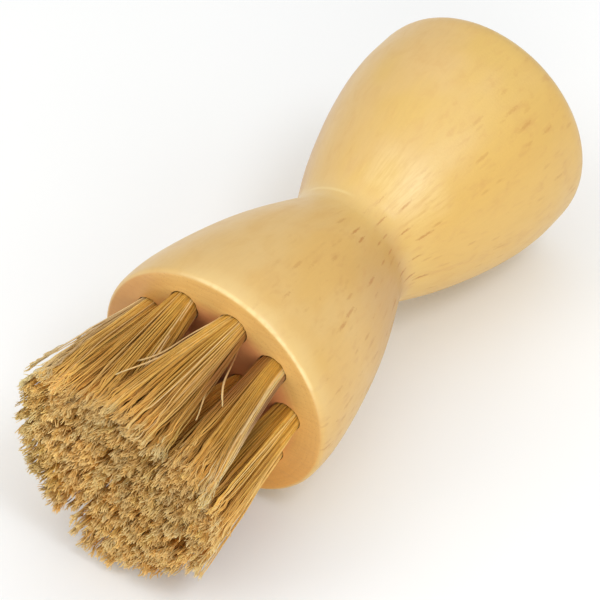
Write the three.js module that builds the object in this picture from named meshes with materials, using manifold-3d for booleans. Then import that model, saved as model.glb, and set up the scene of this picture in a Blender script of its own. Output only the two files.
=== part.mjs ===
// Shoe polish applicator brush: a short turned beech handle whose flat head is
// drilled with two rings of blind holes. Each hole holds a tuft of blond bristle,
// doubled over and held down by a wire staple driven into the wood below it.
//
// The brush lies on its side. Its axis is along Y, with the bristles towards -Y and
// the knob of the handle towards +Y. Millimetres, +Z up. The origin is on the surface
// the brush lies on, under the middle of its length.

import * as THREE from 'three';
import { mergeVertices } from 'three/addons/utils/BufferGeometryUtils.js';
import Module from 'manifold-3d';

// ---------------------------------------------------------------- dimensions

// Handle. The head and the knob are turned from one 36 mm dowel.
const DOWEL_RADIUS = 18.0;
const HANDLE_LENGTH = 67.6;
const HANDLE_SIDES = 40;

// Turned outline from the drilled face (0) to the end of the knob: [along the axis, radius].
const HANDLE_OUTLINE = [
  [0.0, 17.62], [0.06, 17.8], [0.2, 17.92], [0.45, 17.98], [0.8, DOWEL_RADIUS],
  [3.0, DOWEL_RADIUS], [5.4, 17.79], [8.1, 17.35], [10.9, 16.78], [14.0, 16.04],
  [17.0, 15.22], [20.1, 14.23], [23.1, 13.11], [25.3, 12.19], [27.2, 11.37],
  [28.4, 10.83], [29.3, 10.43], [29.9, 10.2], [30.5, 10.05], [31.0, 9.98],
  [31.5, 9.95], [32.0, 9.97], [32.5, 10.03], [33.0, 10.14], [33.5, 10.31],
  [34.0, 10.53], [35.0, 11.01], [36.4, 11.68], [39.5, 13.05], [43.6, 14.57],
  [48.7, 16.18], [53.9, 17.4], [57.0, 17.84], [59.0, DOWEL_RADIUS],
  [62.3, DOWEL_RADIUS], [63.8, 17.94], [65.0, 17.66], [65.9, 17.1], [66.6, 16.3],
  [67.08, 15.45], [67.4, 14.5], [HANDLE_LENGTH, 13.4],
];

// Drilled holes for the tufts.
const HOLE_RADIUS = 2.25;
const HOLE_DEPTH = 9.0;
const HOLE_SIDES = 14;
// Places on the face: [angle in degrees from +X towards +Z, distance from the axis].
// The outer ring is drilled a little unevenly.
const OUTER_HOLES = [
  [142.8, 12.5], [110.0, 12.5], [73.4, 12.4], [39.4, 12.6], [2.8, 11.9],
  [-36.0, 11.4], [-70.5, 12.5], [-107.2, 12.5], [-143.9, 12.5], [179.5, 12.5],
];
const INNER_HOLES = [[92.8, 5.5], [20.8, 5.5], [-51.2, 5.5], [-123.2, 5.5], [164.8, 5.5]];

// Tufts: the doubled bundle stands clear of its hole, and opens out to the trimmed ends.
const FREE_LENGTH = 22.0;
const HOLE_CLEARANCE = 0.3;
const TUFT_SIDES = 10;
const OUTER_TIP_RADIUS = 3.35;
const INNER_TIP_RADIUS = 2.8;

// Staples: a U of round wire over the fold of the tuft, with both legs in the wood.
const WIRE_RADIUS = 0.4;
const WIRE_SIDES = 6;
const LEG_OFFSET = 1.5;
const BRIDGE_DEPTH = 7.0;
const LEG_TIP_DEPTH = 13.0;
const CORNER_RADIUS = 0.7;
const STAPLE_CLEARANCE = 0.2;

// Height of the brush axis: one flat of the turned band lies on the surface.
const AXIS_HEIGHT = DOWEL_RADIUS * Math.cos(Math.PI / HANDLE_SIDES);
// The middle of the whole length, bristles included, is at Y = 0.
const FACE_Y = -(HANDLE_LENGTH - FREE_LENGTH) / 2;

// ----------------------------------------------------------------- materials

const beech = new THREE.MeshStandardMaterial({ color: 0xe5be7d, roughness: 0.38, metalness: 0.0 });
const bristle = new THREE.MeshStandardMaterial({ color: 0xc0934a, roughness: 0.6, metalness: 0.0 });
const wire = new THREE.MeshStandardMaterial({ color: 0xb4b4b0, roughness: 0.35, metalness: 1.0 });

// ------------------------------------------------------------------- helpers

const wasm = await Module();
wasm.setup();

// A closed geometry as a solid for cutting: shared vertices are merged, and the
// triangles that a profile's ends on the axis leave without area are dropped.
function solidOf(geometry) {
  const bare = geometry.clone();
  bare.deleteAttribute('normal');
  bare.deleteAttribute('uv');
  const merged = mergeVertices(bare, 1e-4);
  const index = merged.index.array;
  const triangles = [];
  for (let i = 0; i < index.length; i += 3) {
    const [a, b, c] = [index[i], index[i + 1], index[i + 2]];
    if (a !== b && b !== c && c !== a) triangles.push(a, b, c);
  }
  return new wasm.Manifold(new wasm.Mesh({
    numProp: 3,
    vertProperties: new Float32Array(merged.attributes.position.array),
    triVerts: new Uint32Array(triangles),
  }));
}

function geometryOf(solid) {
  const mesh = solid.getMesh();
  const geometry = new THREE.BufferGeometry();
  geometry.setAttribute('position', new THREE.BufferAttribute(new Float32Array(mesh.vertProperties), 3));
  geometry.setIndex(new THREE.BufferAttribute(new Uint32Array(mesh.triVerts), 1));
  geometry.computeVertexNormals();
  return geometry;
}

// A turned solid about the Y axis. The outline runs from low to high Y and is
// closed to the axis at both ends. A flat, not an edge, faces straight down.
function turned(outline, sides) {
  const points = [[outline[0][0], 0], ...outline, [outline[outline.length - 1][0], 0]]
    .map(([along, radius]) => new THREE.Vector2(radius, along));
  return new THREE.LatheGeometry(points, sides, Math.PI / sides, 2 * Math.PI);
}

// The path of a staple in the XY plane: up one leg, over the bridge and down the
// other. The bridge is at low Y (nearer the face), and the legs point to +Y.
function staplePath(legTipDepth) {
  const c = CORNER_RADIUS * (1 - Math.SQRT1_2);
  const x = LEG_OFFSET;
  const y = BRIDGE_DEPTH;
  return [
    [-x, legTipDepth], [-x, y + CORNER_RADIUS], [-x + c, y + c], [-x + CORNER_RADIUS, y],
    [x - CORNER_RADIUS, y], [x - c, y + c], [x, y + CORNER_RADIUS], [x, legTipDepth],
  ].map(([px, py]) => new THREE.Vector3(px, py, 0));
}

// Round wire along a flat path, mitred at each corner and capped at both ends.
function wireAlong(path, radius, sides) {
  const positions = [];
  const index = [];
  path.forEach((point, i) => {
    const before = path[Math.max(i - 1, 0)];
    const after = path[Math.min(i + 1, path.length - 1)];
    const inward = point.clone().sub(before);
    const onward = after.clone().sub(point);
    if (inward.lengthSq() === 0) inward.copy(onward);
    if (onward.lengthSq() === 0) onward.copy(inward);
    inward.normalize();
    onward.normalize();
    const tangent = inward.clone().add(onward).normalize();
    const across = new THREE.Vector3(-tangent.y, tangent.x, 0);
    const stretch = 1 / Math.max(0.5, tangent.dot(onward));
    for (let k = 0; k < sides; k += 1) {
      const a = (k + 0.5) * 2 * Math.PI / sides;
      positions.push(
        point.x + across.x * radius * stretch * Math.cos(a),
        point.y + across.y * radius * stretch * Math.cos(a),
        point.z + radius * Math.sin(a),
      );
    }
  });
  for (let i = 0; i + 1 < path.length; i += 1) {
    for (let k = 0; k < sides; k += 1) {
      const a = i * sides + k;
      const b = i * sides + (k + 1) % sides;
      index.push(a, b, a + sides, b, b + sides, a + sides);
    }
  }
  const last = (path.length - 1) * sides;
  for (let k = 1; k + 1 < sides; k += 1) {
    index.push(0, k + 1, k);
    index.push(last, last + k, last + k + 1);
  }
  const geometry = new THREE.BufferGeometry();
  geometry.setAttribute('position', new THREE.BufferAttribute(new Float32Array(positions), 3));
  geometry.setIndex(index);
  // Turn the faces outward if the path's sense left them facing in.
  let volume = 0;
  const p = geometry.attributes.position;
  for (let i = 0; i < index.length; i += 3) {
    const [a, b, c] = [0, 1, 2].map((k) => new THREE.Vector3().fromBufferAttribute(p, index[i + k]));
    volume += a.dot(b.cross(c)) / 6;
  }
  if (volume < 0) {
    const flipped = [];
    for (let i = 0; i < index.length; i += 3) flipped.push(index[i], index[i + 2], index[i + 1]);
    geometry.setIndex(flipped);
  }
  geometry.computeVertexNormals();
  return geometry;
}

// -------------------------------------------------------------------- layout

function places(holes) {
  return holes.map(([degrees, radius]) => {
    const a = THREE.MathUtils.degToRad(degrees);
    return { x: radius * Math.cos(a), z: radius * Math.sin(a) };
  });
}

const tufts = [
  ...places(OUTER_HOLES).map((at, i) => ({ at, name: `outer_${String(i + 1).padStart(2, '0')}`, tip: OUTER_TIP_RADIUS })),
  ...places(INNER_HOLES).map((at, i) => ({ at, name: `inner_${String(i + 1).padStart(2, '0')}`, tip: INNER_TIP_RADIUS })),
];

const brush = new THREE.Group();
brush.name = 'shoe_polish_applicator_brush';
brush.position.set(0, FACE_Y, AXIS_HEIGHT);

// -------------------------------------------------------------------- handle

// Space that a staple takes up, with room around the wire.
const stapleSpace = solidOf(wireAlong(staplePath(LEG_TIP_DEPTH + 0.3), WIRE_RADIUS + STAPLE_CLEARANCE, WIRE_SIDES));

// One drilled hole, from in front of the face to its flat bottom, with the two
// pilot holes that the legs of the staple make below it.
const drill = solidOf(turned([[-1.0, HOLE_RADIUS], [HOLE_DEPTH, HOLE_RADIUS]], HOLE_SIDES)).add(stapleSpace);

let handleSolid = solidOf(turned(HANDLE_OUTLINE, HANDLE_SIDES));
for (const tuft of tufts) {
  handleSolid = handleSolid.subtract(drill.translate([tuft.at.x, 0, tuft.at.z]));
}
const handle = new THREE.Mesh(geometryOf(handleSolid), beech);
handle.name = 'handle';
brush.add(handle);

// --------------------------------------------------------- tufts and staples

// The doubled bundle in its hole, with the fold at the bottom, then the free part
// opening out to a flat trim. The staple lies across the fold.
function tuftSolid(tip) {
  const root = HOLE_RADIUS - HOLE_CLEARANCE;
  const fold = HOLE_DEPTH - HOLE_CLEARANCE;
  const outline = [
    [-FREE_LENGTH, tip - 0.35], [-FREE_LENGTH + 0.6, tip], [-16.0, root + (tip - root) * 0.74],
    [-9.0, root + (tip - root) * 0.42], [-3.0, root + (tip - root) * 0.13], [0.0, root],
    [fold - 0.8, root], [fold - 0.2, root - 0.35], [fold, root - 0.8],
  ];
  return solidOf(turned(outline, TUFT_SIDES)).subtract(stapleSpace);
}

const tuftGeometry = new Map([OUTER_TIP_RADIUS, INNER_TIP_RADIUS].map((tip) => [tip, geometryOf(tuftSolid(tip))]));
const stapleGeometry = wireAlong(staplePath(LEG_TIP_DEPTH), WIRE_RADIUS, WIRE_SIDES);

for (const tuft of tufts) {
  const place = new THREE.Group();
  place.position.set(tuft.at.x, 0, tuft.at.z);

  const bundle = new THREE.Mesh(tuftGeometry.get(tuft.tip), bristle);
  bundle.name = `tuft_${tuft.name}`;
  place.add(bundle);

  const staple = new THREE.Mesh(stapleGeometry, wire);
  staple.name = `staple_${tuft.name}`;
  place.add(staple);

  brush.add(place);
}

export default brush;
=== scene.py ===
"""Looks of a round shoe polish applicator brush, lying on its side on a pale floor.

The handle is one turned piece of pale lacquered beech. Its flat head has two rings of drilled
holes. In each hole sits a tuft of blond bristle: every hair runs down the hole, round under the
bridge of a wire staple and back up again, so each hair shows two ends. The ends are split and
crinkled. All lengths below are in millimetres until a mesh is made, which is in metres.
"""

import math

import bpy
import numpy as np
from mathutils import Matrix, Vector
from mathutils.geometry import delaunay_2d_cdt


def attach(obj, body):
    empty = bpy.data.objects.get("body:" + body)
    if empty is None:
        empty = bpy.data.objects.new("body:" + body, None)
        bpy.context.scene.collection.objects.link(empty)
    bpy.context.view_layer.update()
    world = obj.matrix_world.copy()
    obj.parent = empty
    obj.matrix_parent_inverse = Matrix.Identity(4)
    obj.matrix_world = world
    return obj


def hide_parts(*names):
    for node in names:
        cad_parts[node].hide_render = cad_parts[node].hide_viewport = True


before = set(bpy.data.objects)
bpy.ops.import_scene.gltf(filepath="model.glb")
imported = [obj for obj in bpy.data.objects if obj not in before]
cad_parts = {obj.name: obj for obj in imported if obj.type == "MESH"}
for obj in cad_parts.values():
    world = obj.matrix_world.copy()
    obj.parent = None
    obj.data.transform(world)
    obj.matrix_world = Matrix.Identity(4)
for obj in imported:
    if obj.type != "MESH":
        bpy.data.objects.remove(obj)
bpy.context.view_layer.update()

# ------------------------------------------------------------------ dimensions
DOWEL_R = 18.0
HANDLE_L = 67.6
FREE_L = 22.0
SIDES = 40
AXIS_Z = DOWEL_R * math.cos(math.pi / SIDES)
FACE_Y = -(HANDLE_L - FREE_L) / 2
HOLE_R = 2.25
HOLE_DEPTH = 9.0
OUTER_HOLES = [
    (142.8, 12.5), (110.0, 12.5), (73.4, 12.4), (39.4, 12.6), (2.8, 11.9),
    (-36.0, 11.4), (-70.5, 12.5), (-107.2, 12.5), (-143.9, 12.5), (179.5, 12.5),
]
INNER_HOLES = [(92.8, 5.5), (20.8, 5.5), (-51.2, 5.5), (-123.2, 5.5), (164.8, 5.5)]
WIRE_R = 0.4
LEG_X = 1.5
BRIDGE_DEPTH = 7.0
LEG_TIP_DEPTH = 13.0

OUTLINE = [
    (0.0, 17.4), (0.07, 17.62), (0.2, 17.78), (0.42, 17.9), (0.75, 17.97), (1.2, 18.0),
    (3.0, 18.0), (5.4, 17.79), (8.1, 17.35), (10.9, 16.78), (14.0, 16.04),
    (17.0, 15.22), (20.1, 14.23), (23.1, 13.11), (25.3, 12.19), (27.2, 11.37),
    (28.4, 10.83), (29.3, 10.43), (29.9, 10.2), (30.5, 10.05), (31.0, 9.98),
    (31.5, 9.95), (32.0, 9.97), (32.5, 10.03), (33.0, 10.14), (33.5, 10.31),
    (34.0, 10.53), (35.0, 11.01), (36.4, 11.68), (39.5, 13.05), (43.6, 14.57),
    (48.7, 16.18), (53.9, 17.4), (57.0, 17.84), (59.0, 18.0),
    (62.3, 18.0), (63.8, 17.94), (65.0, 17.66), (65.9, 17.1), (66.6, 16.3),
    (67.08, 15.45), (67.4, 14.5), (67.6, 13.4),
]


def holes():
    out = []
    for i, (deg, r) in enumerate(OUTER_HOLES):
        a = math.radians(deg)
        out.append((f"outer_{i + 1:02d}", r * math.cos(a), r * math.sin(a), True))
    for i, (deg, r) in enumerate(INNER_HOLES):
        a = math.radians(deg)
        out.append((f"inner_{i + 1:02d}", r * math.cos(a), r * math.sin(a), False))
    return out


HOLES = holes()


def srgb(r, g, b):
    """8-bit sRGB to linear."""
    out = []
    for v in (r, g, b):
        v = v / 255.0
        out.append(v / 12.92 if v <= 0.04045 else ((v + 0.055) / 1.055) ** 2.4)
    return tuple(out)


# -------------------------------------------------------------------- materials
class Nodes:
    """Short-hand for building a material's nodes."""

    def __init__(self, name):
        self.mat = bpy.data.materials.new(name)
        self.mat.use_nodes = True
        self.nt = self.mat.node_tree
        self.bsdf = self.nt.nodes["Principled BSDF"]

    def link(self, value, socket):
        if isinstance(value, bpy.types.NodeSocket):
            self.nt.links.new(value, socket)
        else:
            socket.default_value = value

    def math(self, op, a, b=None, c=None, clamp=False):
        n = self.nt.nodes.new("ShaderNodeMath")
        n.operation = op
        n.use_clamp = clamp
        for i, v in enumerate((a, b, c)):
            if v is not None:
                self.link(v, n.inputs[i])
        return n.outputs[0]

    def vmath(self, op, a, b=None):
        n = self.nt.nodes.new("ShaderNodeVectorMath")
        n.operation = op
        self.link(a, n.inputs[0])
        if b is not None:
            self.link(b, n.inputs[1])
        return n.outputs["Vector"]

    def combine(self, x, y, z):
        n = self.nt.nodes.new("ShaderNodeCombineXYZ")
        for v, s in zip((x, y, z), n.inputs):
            self.link(v, s)
        return n.outputs[0]

    def separate(self, v):
        n = self.nt.nodes.new("ShaderNodeSeparateXYZ")
        self.link(v, n.inputs[0])
        return n.outputs["X"], n.outputs["Y"], n.outputs["Z"]

    def object_mm(self):
        n = self.nt.nodes.new("ShaderNodeTexCoord")
        return self.vmath("MULTIPLY", n.outputs["Object"], (1000.0, 1000.0, 1000.0))

    def noise(self, vec, scale, detail=2.0, rough=0.5, distortion=0.0):
        n = self.nt.nodes.new("ShaderNodeTexNoise")
        n.noise_dimensions = "3D"
        self.link(vec, n.inputs["Vector"])
        n.inputs["Scale"].default_value = scale
        n.inputs["Detail"].default_value = detail
        n.inputs["Roughness"].default_value = rough
        n.inputs["Distortion"].default_value = distortion
        return n.outputs["Fac"]

    def voronoi(self, vec, scale=1.0, feature="F1", randomness=1.0):
        n = self.nt.nodes.new("ShaderNodeTexVoronoi")
        n.voronoi_dimensions = "3D"
        n.feature = feature
        self.link(vec, n.inputs["Vector"])
        n.inputs["Scale"].default_value = scale
        n.inputs["Randomness"].default_value = randomness
        return n.outputs["Distance"], n.outputs["Color"]

    def steps(self, value, lo, hi, a=0.0, b=1.0):
        """Smooth step of value from lo to hi, out from a to b."""
        n = self.nt.nodes.new("ShaderNodeMapRange")
        n.interpolation_type = "SMOOTHSTEP"
        self.link(value, n.inputs["Value"])
        self.link(lo, n.inputs["From Min"])
        self.link(hi, n.inputs["From Max"])
        self.link(a, n.inputs["To Min"])
        self.link(b, n.inputs["To Max"])
        return n.outputs["Result"]

    def mix(self, fac, a, b, mode="MIX"):
        n = self.nt.nodes.new("ShaderNodeMix")
        n.data_type = "RGBA"
        n.blend_type = mode
        n.clamp_factor = True
        self.link(fac, n.inputs[0])
        for v, s in ((a, n.inputs[6]), (b, n.inputs[7])):
            if isinstance(v, tuple):
                s.default_value = (*v, 1.0)
            else:
                self.link(v, s)
        return n.outputs[2]

    def scale_colour(self, colour, factor):
        n = self.nt.nodes.new("ShaderNodeVectorMath")
        n.operation = "SCALE"
        self.link(colour, n.inputs[0])
        self.link(factor, n.inputs["Scale"])
        return n.outputs["Vector"]

    def bump(self, height, distance_m, strength=1.0, normal=None):
        n = self.nt.nodes.new("ShaderNodeBump")
        n.inputs["Strength"].default_value = strength
        n.inputs["Distance"].default_value = distance_m
        self.link(height, n.inputs["Height"])
        if normal is not None:
            self.link(normal, n.inputs["Normal"])
        return n.outputs["Normal"]


def wood_material():
    """Pale lacquered beech: long grain along the handle, short ray flecks, end grain on the flat ends."""
    k = Nodes("lacquered_beech")
    p = k.object_mm()
    x, y, z = k.separate(p)
    zc = k.math("SUBTRACT", z, AXIS_Z)
    along = k.math("SUBTRACT", y, FACE_Y)
    radius = k.math("SQRT", k.math("ADD", k.math("MULTIPLY", x, x), k.math("MULTIPLY", zc, zc)))
    safe = k.math("MAXIMUM", radius, 0.01)
    cx = k.math("DIVIDE", x, safe)
    cz = k.math("DIVIDE", zc, safe)
    # A point on a drum of constant radius, so that the pattern isn't stretched at the waist, and a plain point on the end of the knob.
    on_end = k.steps(along, 66.6, 67.5)
    off_end = k.math("SUBTRACT", 1.0, on_end)
    drum = k.combine(k.math("ADD", k.math("MULTIPLY", k.math("MULTIPLY", cx, 14.0), off_end), k.math("MULTIPLY", x, on_end)), along,
                     k.math("ADD", k.math("MULTIPLY", k.math("MULTIPLY", cz, 14.0), off_end), k.math("MULTIPLY", zc, on_end)))

    # The flat-sawn side, where the grain shows as flecks: round +X, and a narrower strip opposite.
    dx, dy, dz = k.separate(drum)
    facing = k.math("ADD", k.math("MULTIPLY", dx, math.cos(math.radians(2)) / 14.0),
                    k.math("MULTIPLY", dz, math.sin(math.radians(2)) / 14.0))
    flat = k.math("MAXIMUM", k.steps(facing, 0.0, 0.65), k.steps(facing, -0.8, -0.97, 0.0, 0.8))

    # Soft clouds and mottling, drawn out a little along the grain, and faint fibres.
    cloud = k.noise(k.vmath("MULTIPLY", drum, (0.13, 0.07, 0.13)), 1.0, 2.0, 0.5)
    mottle = k.noise(k.vmath("MULTIPLY", drum, (0.5, 0.26, 0.5)), 1.0, 3.0, 0.6, 0.5)
    fibre = k.noise(k.vmath("MULTIPLY", drum, (2.6, 0.3, 2.6)), 1.0, 3.0, 0.6)
    grit = k.noise(k.vmath("MULTIPLY", drum, (3.6, 2.2, 3.6)), 1.0, 2.0, 0.6)

    # The wood is a little yellower towards the knob.
    pale = srgb(218, 181, 114)
    warm = k.mix(k.steps(along, 27.0, 37.0), srgb(216, 173, 94), srgb(218, 180, 97))
    colour = k.mix(k.steps(k.math("ADD", cloud, k.math("MULTIPLY", facing, 0.22)), 0.36, 0.7), pale, warm)
    # Warmer on the flat-sawn side of the knob, and painted shade where the head narrows to the waist on that side.
    colour = k.mix(k.math("MULTIPLY", k.steps(facing, 0.5, 0.95, 0.0, 0.4), k.steps(along, 33.0, 38.0)), colour, srgb(214, 166, 79))
    painted_waist_shade = k.math("MULTIPLY", k.steps(along, 10.0, 24.0), k.steps(along, 33.5, 29.0))
    colour = k.mix(k.math("MULTIPLY", painted_waist_shade, k.steps(facing, 0.4, 0.95, 0.0, 0.85)), colour, srgb(193, 147, 74))
    # Painted shade: darker on the far (-X) side of the knob.
    painted_far_shade = k.math("MULTIPLY", k.steps(facing, -0.7, -0.98, 0.0, 0.5), k.math("MULTIPLY", k.steps(along, 32.5, 35.0), off_end))
    colour = k.mix(painted_far_shade, colour, srgb(190, 142, 88))
    colour = k.mix(k.steps(mottle, 0.46, 0.8, 0.0, 0.3), colour, srgb(206, 158, 88))
    colour = k.scale_colour(colour, k.steps(fibre, 0.25, 0.75, 0.985, 1.013))

    # Flecks: short soft brown dashes along the grain, strongest near the waist.
    near_waist = k.math("MULTIPLY", k.steps(k.math("ABSOLUTE", k.math("SUBTRACT", along, 32.5)), 15.0, 4.0, 0.62, 1.0), k.steps(along, 32.0, 37.0, 1.0, 0.62))
    ragged = k.math("MULTIPLY", k.math("SUBTRACT", k.noise(k.vmath("MULTIPLY", drum, (5.0, 2.4, 5.0)), 1.0, 2.0, 0.6), 0.5), 0.34)
    d1, c1 = k.voronoi(k.vmath("ADD", k.vmath("MULTIPLY", drum, (1 / 1.3, 1 / 7.0, 1 / 1.3)), (3.1, 0.4, 8.6)))
    r1, g1, b1 = k.separate(c1)
    dash = k.math("MULTIPLY", k.steps(k.math("ADD", d1, ragged), 0.24, 0.08), k.math("MULTIPLY", k.steps(r1, 0.3, 0.7, 0.1, 1.0), flat))
    d2, c2 = k.voronoi(k.vmath("ADD", k.vmath("MULTIPLY", drum, (1 / 0.9, 1 / 3.6, 1 / 0.9)), (7.3, 2.1, 4.7)))
    r2, g2, b2 = k.separate(c2)
    tick = k.math("MULTIPLY", k.steps(k.math("ADD", d2, ragged), 0.3, 0.1), k.math("MULTIPLY", k.steps(r2, 0.5, 0.9, 0.0, 0.75), flat))
    flecks = k.math("MULTIPLY", k.math("MAXIMUM", dash, tick), near_waist)
    smudge = k.noise(k.vmath("MULTIPLY", drum, (0.9, 0.36, 0.9)), 1.0, 2.0, 0.55, 0.3)
    smudge = k.math("MULTIPLY", k.steps(smudge, 0.52, 0.76, 0.0, 0.42), k.math("ADD", k.math("MULTIPLY", flat, 0.8), 0.2))
    side = k.mix(smudge, colour, srgb(202, 150, 80))
    side = k.mix(k.math("MULTIPLY", flecks, 0.78), side, srgb(176, 109, 32))

    # Painted highlights, pale: one arc of the rim of the head with a faint band beside it, a line along the crease of
    # the waist with a soft band beside it, and a streaky patch on the knob just past the waist.
    to_rim = k.math("ADD", k.math("MULTIPLY", cx, 0.5), k.math("MULTIPLY", cz, 0.866))
    rim = k.math("MULTIPLY", k.steps(along, 0.85, 0.1), k.steps(to_rim, 0.66, 0.92))
    to_crease = k.math("ADD", k.math("MULTIPLY", cx, math.cos(math.radians(112))), k.math("MULTIPLY", cz, math.sin(math.radians(112))))
    crease = k.math("MULTIPLY", k.steps(k.math("ABSOLUTE", k.math("SUBTRACT", along, 32.1)), 0.42, 0.05), k.steps(to_crease, 0.88, 0.985))
    patchy = k.steps(k.noise(k.vmath("MULTIPLY", drum, (0.8, 0.8, 0.8)), 1.0, 2.0, 0.6), 0.35, 0.6, 0.5, 0.85)
    halo = k.math("MULTIPLY", k.steps(along, 4.0, 0.6, 0.0, 0.3), k.steps(to_rim, 0.5, 0.9))
    painted_waist_sheen = k.math("MULTIPLY", k.steps(k.math("ABSOLUTE", k.math("SUBTRACT", along, 31.0)), 5.0, 0.8, 0.0, 0.22), k.steps(to_crease, 0.1, 0.8))
    to_neck = k.math("ADD", k.math("MULTIPLY", cx, math.cos(math.radians(62))), k.math("MULTIPLY", cz, math.sin(math.radians(62))))
    painted_neck_highlight = k.math("MULTIPLY", k.steps(k.math("ABSOLUTE", k.math("SUBTRACT", along, 37.5)), 5.0, 1.5), k.steps(to_neck, 0.8, 0.97))
    painted_neck_highlight = k.math("MULTIPLY", painted_neck_highlight, k.steps(fibre, 0.3, 0.65, 0.08, 0.3))
    painted_waist_sheen = k.math("MAXIMUM", painted_waist_sheen, painted_neck_highlight)
    painted_highlights = k.math("ADD", k.math("MAXIMUM", k.math("MULTIPLY", rim, patchy), k.math("MAXIMUM", halo, painted_waist_sheen)), k.math("MULTIPLY", crease, 0.32), clamp=True)
    # Painted highlights: the side is mixed towards pale cream.
    side = k.mix(painted_highlights, side, srgb(241, 216, 154))

    # End grain on the drilled face and the end of the knob, and painted shade down the holes.
    pore_d, pore_c = k.voronoi(k.vmath("MULTIPLY", p, (2.6, 0.3, 2.6)))
    pores = k.steps(pore_d, 0.3, 0.12)
    turning = k.noise(k.combine(k.math("MULTIPLY", radius, 2.2), k.math("MULTIPLY", cx, 0.9), k.math("MULTIPLY", cz, 0.9)), 1.0, 3.0, 0.65)
    streak = k.noise(k.vmath("MULTIPLY", p, (0.3, 1.0, 2.4)), 1.0, 3.0, 0.6)
    upper = k.mix(k.steps(turning, 0.35, 0.7), srgb(229, 186, 111), srgb(225, 179, 103))
    lower = k.mix(k.steps(turning, 0.35, 0.7), srgb(229, 165, 70), srgb(224, 157, 62))
    face = k.mix(k.steps(k.math("ADD", zc, k.math("MULTIPLY", x, 0.25)), -14.0, 16.0), lower, upper)
    face = k.mix(k.steps(streak, 0.4, 0.75, 0.0, 0.3), face, srgb(204, 145, 74))
    face = k.mix(k.math("MULTIPLY", pores, 0.22), face, srgb(150, 92, 44))
    # Painted shadow: the left part of the drilled face is darker, as under the bristles' shadow.
    face = k.mix(k.math("MULTIPLY", k.steps(x, -5.0, -13.0, 0.0, 0.6), k.steps(along, 60.0, 50.0)), face, srgb(196, 132, 52))
    # Painted shade: redder and darker between the tufts, where the face lies in their shade.
    face = k.mix(k.math("MULTIPLY", k.steps(radius, 14.4, 11.2, 0.0, 0.7), k.steps(along, 60.0, 50.0)), face, srgb(243, 150, 100))
    end = k.math("MAXIMUM", k.math("MULTIPLY", k.steps(along, 0.16, 0.02), k.steps(radius, 17.68, 17.38)),
                 k.math("MULTIPLY", k.steps(along, 67.3, 67.58, 0.0, 0.5), k.steps(radius, 15.0, 12.6)))
    # Painted shade: the walls of the holes are darker.
    painted_hole_shade = k.math("MULTIPLY", k.steps(along, 0.1, 0.6), k.steps(k.math("SUBTRACT", k.math("MULTIPLY", along, -0.28), k.math("SUBTRACT", radius, 17.2)), 0.0, 0.4))
    painted_hole_shade = k.math("MULTIPLY", painted_hole_shade, k.steps(along, 15.0, 14.0))
    base = k.mix(end, side, face)
    base = k.mix(k.math("MULTIPLY", painted_hole_shade, k.steps(radius, 15.3, 15.0)), base, srgb(150, 96, 52))
    k.link(base, k.bsdf.inputs["Base Color"])

    rough = k.math("ADD", k.steps(mottle, 0.3, 0.75, 0.38, 0.46), k.math("MULTIPLY", end, 0.12))
    rough = k.math("ADD", rough, k.math("MULTIPLY", flecks, 0.12))
    k.link(rough, k.bsdf.inputs["Roughness"])
    k.bsdf.inputs["IOR"].default_value = 1.45
    k.bsdf.inputs["Specular IOR Level"].default_value = 0.85
    k.bsdf.inputs["Specular Tint"].default_value = (0.72, 0.95, 1.0, 1.0)
    k.bsdf.inputs["Coat Weight"].default_value = 0.2
    k.bsdf.inputs["Coat Roughness"].default_value = 0.33
    relief = k.math("SUBTRACT", k.math("ADD", k.math("MULTIPLY", fibre, 0.2), k.math("MULTIPLY", grit, 0.9)), k.math("MULTIPLY", flecks, 0.7))
    relief = k.math("SUBTRACT", relief, k.math("MULTIPLY", k.math("MULTIPLY", pores, end), 0.5))
    relief = k.math("ADD", relief, k.math("MULTIPLY", k.math("MULTIPLY", turning, end), 0.35))
    k.link(k.bump(relief, 0.00003, 0.8), k.bsdf.inputs["Normal"])
    return k.mat


def bristle_material():
    """Natural blond bristle: each hair has its own tone, with fine streaks along it."""
    k = Nodes("blond_bristle")
    hair = k.nt.nodes.new("ShaderNodeAttribute")
    hair.attribute_type = "GEOMETRY"
    hair.attribute_name = "hair_colour"
    p = k.object_mm()
    streak = k.noise(k.vmath("MULTIPLY", p, (4.0, 0.9, 4.0)), 1.0, 2.0, 0.6)
    colour = k.scale_colour(hair.outputs["Color"], k.steps(streak, 0.25, 0.75, 0.86, 1.1))
    k.link(colour, k.bsdf.inputs["Base Color"])
    k.link(k.steps(streak, 0.3, 0.7, 0.46, 0.6), k.bsdf.inputs["Roughness"])
    k.bsdf.inputs["IOR"].default_value = 1.5
    k.bsdf.inputs["Specular IOR Level"].default_value = 0.4
    return k.mat


def wire_material():
    """Drawn steel wire, with fine die lines along it."""
    k = Nodes("drawn_wire")
    p = k.object_mm()
    line = k.noise(k.vmath("MULTIPLY", p, (9.0, 0.6, 9.0)), 1.0, 3.0, 0.6)
    k.link(k.mix(line, srgb(168, 168, 164), srgb(205, 204, 199)), k.bsdf.inputs["Base Color"])
    k.bsdf.inputs["Metallic"].default_value = 1.0
    k.link(k.steps(line, 0.25, 0.75, 0.26, 0.46), k.bsdf.inputs["Roughness"])
    k.link(k.bump(line, 0.00001, 0.5), k.bsdf.inputs["Normal"])
    return k.mat


# ---------------------------------------------------------------------- meshes
def add_mesh(name, verts_mm, faces, material, smooth=True):
    mesh = bpy.data.meshes.new(name)
    mesh.from_pydata((np.asarray(verts_mm, float) * 0.001).tolist(), [], faces)
    mesh.materials.append(material)
    mesh.polygons.foreach_set("use_smooth", [smooth] * len(mesh.polygons))
    mesh.update()
    obj = bpy.data.objects.new(name, mesh)
    bpy.context.scene.collection.objects.link(obj)
    return obj


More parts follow.
